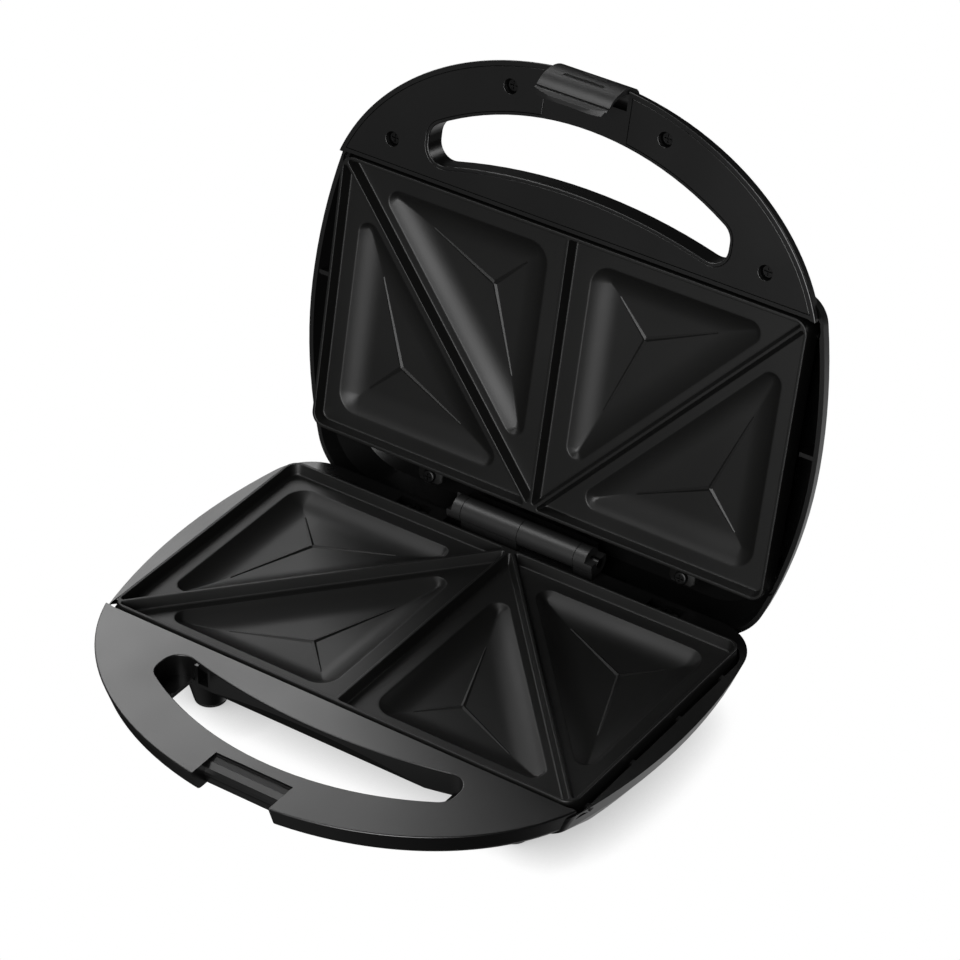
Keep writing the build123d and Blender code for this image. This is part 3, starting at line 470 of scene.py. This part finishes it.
def add_prism(mesh, outline, axis, start, end):
    """Closed prism across an axis, slightly softened at its ends."""
    middle = sum((Vector(p) for p in outline), Vector((0, 0))) / len(outline)
    rows = []
    for at, size in ((start, 0.94), (start + 0.3, 1), (end - 0.3, 1), (end, 0.94)):
        rows.append([])
        for p in outline:
            u, v = middle + (Vector(p) - middle) * size
            rows[-1].append(mesh.verts.new((at, u, v) if axis == "x" else (u, v, at)))
    join_rows(mesh, rows)
    mesh.faces.new(rows[0][::-1])
    mesh.faces.new(rows[-1])


def crease_tree(material):
    """Geometry Nodes tree: straight lines become low ribs that taper along the line."""
    tree = bpy.data.node_groups.new("crease_ribs", "GeometryNodeTree")
    face = tree.interface
    face.new_socket("Lines", in_out="INPUT", socket_type="NodeSocketGeometry")
    for label in CREASE_SIZES:
        face.new_socket(label, in_out="INPUT", socket_type="NodeSocketFloat")
    face.new_socket("Ribs", in_out="OUTPUT", socket_type="NodeSocketGeometry")
    nodes, links = tree.nodes, tree.links
    given, result = nodes.new("NodeGroupInput"), nodes.new("NodeGroupOutput")
    to_curve = nodes.new("GeometryNodeMeshToCurve")
    fine = nodes.new("GeometryNodeResampleCurve")
    fine.inputs["Count"].default_value = 12
    along = nodes.new("GeometryNodeSplineParameter")
    taper = nodes.new("ShaderNodeMapRange")
    taper.inputs["To Min"].default_value = 1.0
    profile = nodes.new("GeometryNodeCurvePrimitiveCircle")
    profile.inputs["Resolution"].default_value = 4
    flatten = nodes.new("GeometryNodeTransform")
    squash = nodes.new("ShaderNodeCombineXYZ")
    squash.inputs["X"].default_value = 1.0
    squash.inputs["Z"].default_value = 1.0
    sweep = nodes.new("GeometryNodeCurveToMesh")
    sweep.inputs["Fill Caps"].default_value = True
    whole = nodes.new("GeometryNodeRealizeInstances")
    paint = nodes.new("GeometryNodeSetMaterial")
    paint.inputs["Material"].default_value = material
    links.new(given.outputs["Lines"], to_curve.inputs["Mesh"])
    links.new(to_curve.outputs["Curve"], fine.inputs["Curve"])
    links.new(along.outputs["Factor"], taper.inputs["Value"])
    links.new(given.outputs["Tail"], taper.inputs["To Max"])
    links.new(given.outputs["Half Width"], profile.inputs["Radius"])
    links.new(given.outputs["Rise"], squash.inputs["Y"])
    links.new(profile.outputs["Curve"], flatten.inputs["Geometry"])
    links.new(squash.outputs["Vector"], flatten.inputs["Scale"])
    links.new(fine.outputs["Curve"], sweep.inputs["Curve"])
    links.new(flatten.outputs["Geometry"], sweep.inputs["Profile Curve"])
    links.new(taper.outputs["Result"], sweep.inputs["Scale"])
    links.new(sweep.outputs["Mesh"], whole.inputs["Geometry"])
    links.new(whole.outputs["Geometry"], paint.inputs["Geometry"])
    links.new(paint.outputs["Geometry"], result.inputs["Ribs"])
    return tree


def crease_mesh(material):
    """Ribs of one plate: from the middle of each pocket's floor into its corners."""
    points, lines = [], []
    floor_z = -LAND - POCKET_DEPTH
    for tray in TRAYS:
        tails = pocket_corners(tray, COVE_W - CREASE_INTO_COVE)
        middle = incentre(tails)
        for side in (-1, 1):
            head = len(points)
            points.append((side * middle.x, middle.y, floor_z - CREASE_HEAD_SINK))
            for tail in tails:
                lines.append((head, len(points)))
                points.append((side * tail.x, tail.y, floor_z + CREASE_TAIL_LIFT))
    line_mesh = bpy.data.meshes.new("crease_lines")
    line_mesh.from_pydata(points, lines, [])
    holder = bpy.data.objects.new("crease_lines", line_mesh)
    bpy.context.scene.collection.objects.link(holder)
    creases = holder.modifiers.new("creases", "NODES")
    creases.node_group = crease_tree(material)
    for item in creases.node_group.interface.items_tree:
        if item.name in CREASE_SIZES:
            creases[item.identifier] = CREASE_SIZES[item.name]
    evaluated = holder.evaluated_get(bpy.context.evaluated_depsgraph_get())
    ribs = bpy.data.meshes.new_from_object(evaluated)
    bpy.data.objects.remove(holder)
    return ribs


def add_trays(mesh):
    """Body of a plate: ridges, lands and pockets above, a skirt and hollows below."""
    top_rows, under_rows = [], []
    for tray in TRAYS:
        rings = ridge_rings(tray) + pocket_rings(tray)
        middle = incentre(rings[-1][0])
        for side in (-1, 1):
            first, last = add_rings(mesh, rings, side)
            floor_middle = -LAND - POCKET_DEPTH - FLOOR_MIDDLE_FALL
            close_row(mesh, last, (side * middle.x, middle.y, floor_middle))
            top_rows.append(first)
            first, last = add_rings(mesh, under_rings(tray), side)
            close_row(mesh, last, (side * middle.x, middle.y, UNDER_MIDDLE))
            under_rows.append(first)
    first, last = add_rings(mesh, rim_rings())
    fill_between(mesh, top_rows + [first])
    fill_between(mesh, under_rows + [last])


def add_fittings(mesh):
    """Screw ears, hooks, the thermostat's pad, and saddles with a groove for the heater."""
    for x in EARS_X:
        add_prism(mesh, [(x + u, v) for u, v in EAR_OUTLINE], "z", -SKIRT, -SKIRT + EAR_T)
    for x in HOOKS_X:
        add_prism(mesh, [(x + u, v) for u, v in HOOK_OUTLINE], "z", -SKIRT, HOOK_TOP)
    spoke = Vector((PAD_R, 0))
    pad = [Vector(PAD_AT) + Matrix.Rotation(k * math.pi / 16, 2) @ spoke for k in range(32)]
    add_prism(mesh, pad, "z", PAD_FACE, -CEILING + 0.5)
    for y in SADDLES_Y:
        outline = []
        for k in range(13):
            turn = k * math.pi / 12
            across, up = HEATER_R * math.cos(turn), HEATER_R * math.sin(turn)
            outline.append((y - across, HEATER_Z + up))
        outline += [(y + SADDLE_HALF_Y, HEATER_Z), (y + SADDLE_HALF_Y, SADDLE_TOP)]
        outline += [(y - SADDLE_HALF_Y, SADDLE_TOP), (y - SADDLE_HALF_Y, HEATER_Z)]
        add_prism(mesh, outline, "x", -SADDLE_HALF_X, SADDLE_HALF_X)


def cast_plate(ribs):
    """Mesh of a plate as it lies in the base."""
    mesh = bmesh.new()
    add_trays(mesh)
    add_fittings(mesh)
    mesh.from_mesh(ribs)
    bmesh.ops.recalc_face_normals(mesh, faces=mesh.faces)
    for face in mesh.faces:
        face.smooth = True
    for edge in mesh.edges:
        edge.smooth = edge.calc_face_angle(0) < math.radians(SHARP_FROM)
    return mesh


non_stick = satin_finish(
    "non_stick", NON_STICK, roughness=0.43, grain_size=0.0004, grain_depth=0.00003, specular=0.32
)
crease_ribs = crease_mesh(non_stick)
for name, body, place in (
    ("lower_plate", "base", ON_BASE), ("upper_plate", "lid", ON_LID @ TURNED_OVER),
):
    shape = cast_plate(crease_ribs)
    shape.transform(place)
    if place.determinant() < 0:
        bmesh.ops.reverse_faces(shape, faces=shape.faces)
    plate_mesh = bpy.data.meshes.new(name + "_casting")
    shape.to_mesh(plate_mesh)
    shape.free()
    plate_mesh.materials.append(non_stick)
    plate = bpy.data.objects.new(name + "_casting", plate_mesh)
    bpy.context.scene.collection.objects.link(plate)
    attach(plate, body)
    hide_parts(name)

# ---- Latch -----------------------------------------------------------------------------
# Moulded catch on a pin at the front of the lid, with the hook that snaps under the base
# handle.  It is of the same black plastic but duller, and its edges are rounded off.
LATCH_ROUNDING = 0.0003
latch_satin = satin_finish(
    "latch_satin", MOULD_BLACK, roughness=0.42, grain_size=0.0005, grain_depth=0.00003
)
latch_catch = softened("latch", latch_satin, LATCH_ROUNDING)
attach(latch_catch, "latch")
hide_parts("latch")

# ---- Hinge -----------------------------------------------------------------------------
# Two pressed leaves rolled into knuckles and painted satin black, one screwed to the
# base and one to the lid, which turn on one steel pin.
HINGE_BLACK = (0.006, 0.006, 0.006)
hinge_paint = satin_finish(
    "hinge_paint", HINGE_BLACK, roughness=0.38, grain_size=0.0003, grain_depth=0.00002
)
dress(hinge_paint, "base_hinge", "lid_hinge")

# ---- Screws that show, pins ------------------------------------------------------------
# Cross-slot steel screws, blackened so that they don't shine in their recesses, and the
# two pins of the same steel.
BLACKENED = (0.03, 0.03, 0.03)


def metal_finish(name, colour, roughness, streak=(1, 1, 1)):
    """Bare or plated metal: fine grain, drawn out where asked, and an uneven gloss."""
    paint, tree, shader, place = new_finish(name)
    stretch = tree.nodes.new("ShaderNodeMapping")
    stretch.inputs["Scale"].default_value = streak
    tree.links.new(place, stretch.inputs["Vector"])
    grain = noise(tree, stretch.outputs["Vector"], scale=1800, detail=3)
    gloss = value_between(tree, grain, roughness - 0.08, roughness + 0.08)
    tone = tone_between(tree, grain, colour, low=0.8, high=1.0)
    bumps = relief(tree, grain, strength=0.15, depth=0.00002)
    shader.inputs["Metallic"].default_value = 1.0
    tree.links.new(gloss, shader.inputs["Roughness"])
    tree.links.new(tone, shader.inputs["Base Color"])
    tree.links.new(bumps, shader.inputs["Normal"])
    return paint


dress(
    metal_finish("blackened_steel", BLACKENED, roughness=0.38),
    "lid_handle_screws", "base_handle_screws", "lower_plate_screws", "upper_plate_screws",
    "base_hinge_screws", "lid_hinge_screws", "hinge_pin", "latch_pin",
)

# ---- Heaters ---------------------------------------------------------------------------
# Steel-sheathed tubes gone brown with heat.  One is bent to shape under each casting
# and lies in the groove of its saddles.
SHEATH_BROWN = (0.20, 0.17, 0.15)
dress(metal_finish("heater_sheath", SHEATH_BROWN, roughness=0.45), "lower_heater", "upper_heater")

# ---- Clamps, inner screws, thermostat --------------------------------------------------
# Zinc-plated steel: the clamps that hold the heaters in their saddles, the screws that
# aren't seen from outside, and the thermostat's can.
ZINC = (0.52, 0.53, 0.55)
dress(
    metal_finish("zinc_plate", ZINC, roughness=0.34),
    "lower_heater_clamps", "upper_heater_clamps", "lower_clamp_screws", "upper_clamp_screws",
    "lower_reflector_screws", "upper_reflector_screws", "thermostat",
)

# ---- Reflectors, fuse strap ------------------------------------------------------------
# Pressed from bright aluminium sheet, with the grain of the rolling along it: the trays
# that throw the heat back at the plates, and the strap round the fuse.
SHEET_BRIGHT = (0.80, 0.81, 0.82)
dress(
    metal_finish("bright_sheet", SHEET_BRIGHT, roughness=0.26, streak=(1, 0.05, 1)),
    "lower_reflector", "upper_reflector", "fuse_strap",
)

# ---- Fuse, terminals -------------------------------------------------------------------
# Thermal fuse in a brass case, strapped under the lower reflector, and the terminals:
# brass screws in a block moulded of white heat-proof plastic.
BRASS = (0.70, 0.52, 0.25)
BLOCK_WHITE = (0.36, 0.36, 0.34)
dress(metal_finish("brass", BRASS, roughness=0.30), "thermal_fuse", "terminal_screws")
block_white = satin_finish(
    "block_white", BLOCK_WHITE, roughness=0.55, grain_size=0.0006, grain_depth=0.00003
)
dress(block_white, "terminal_block")

# ---- Feet, cord bushing ----------------------------------------------------------------
# Moulded black rubber, matt and slightly open-grained: pads that grip the table, and
# the bushing that lines the cord's inlet.
RUBBER_BLACK = (0.006, 0.006, 0.006)
rubber = satin_finish(
    "rubber", RUBBER_BLACK, roughness=0.75, grain_size=0.0009, grain_depth=0.00008, specular=0.3
)
dress(rubber, "foot_pads", "cord_bushing")

# ---- Pilot lamps -----------------------------------------------------------------------
# Tinted clear lenses in the top of the lid, a little cloudy inside, with a small glass
# lamp under each.
LENS_RED, LENS_GREEN, LAMP_CLEAR = (0.45, 0.01, 0.01), (0.01, 0.30, 0.05), (0.9, 0.86, 0.8)


def lens_finish(name, colour, roughness):
    """Clear tinted moulding or glass, with a faint cloudiness in its colour."""
    paint, tree, shader, place = new_finish(name)
    cloud = noise(tree, place, scale=400, detail=2)
    shader.inputs["Roughness"].default_value = roughness
    shader.inputs["Transmission Weight"].default_value = 0.6
    tree.links.new(tone_between(tree, cloud, colour, low=0.7, high=1.0), shader.inputs["Base Color"])
    return paint


dress(lens_finish("red_lens", LENS_RED, roughness=0.12), "lens_left")
dress(lens_finish("green_lens", LENS_GREEN, roughness=0.12), "lens_right")
dress(lens_finish("lamp_glass", LAMP_CLEAR, roughness=0.05), "pilot_lamps")
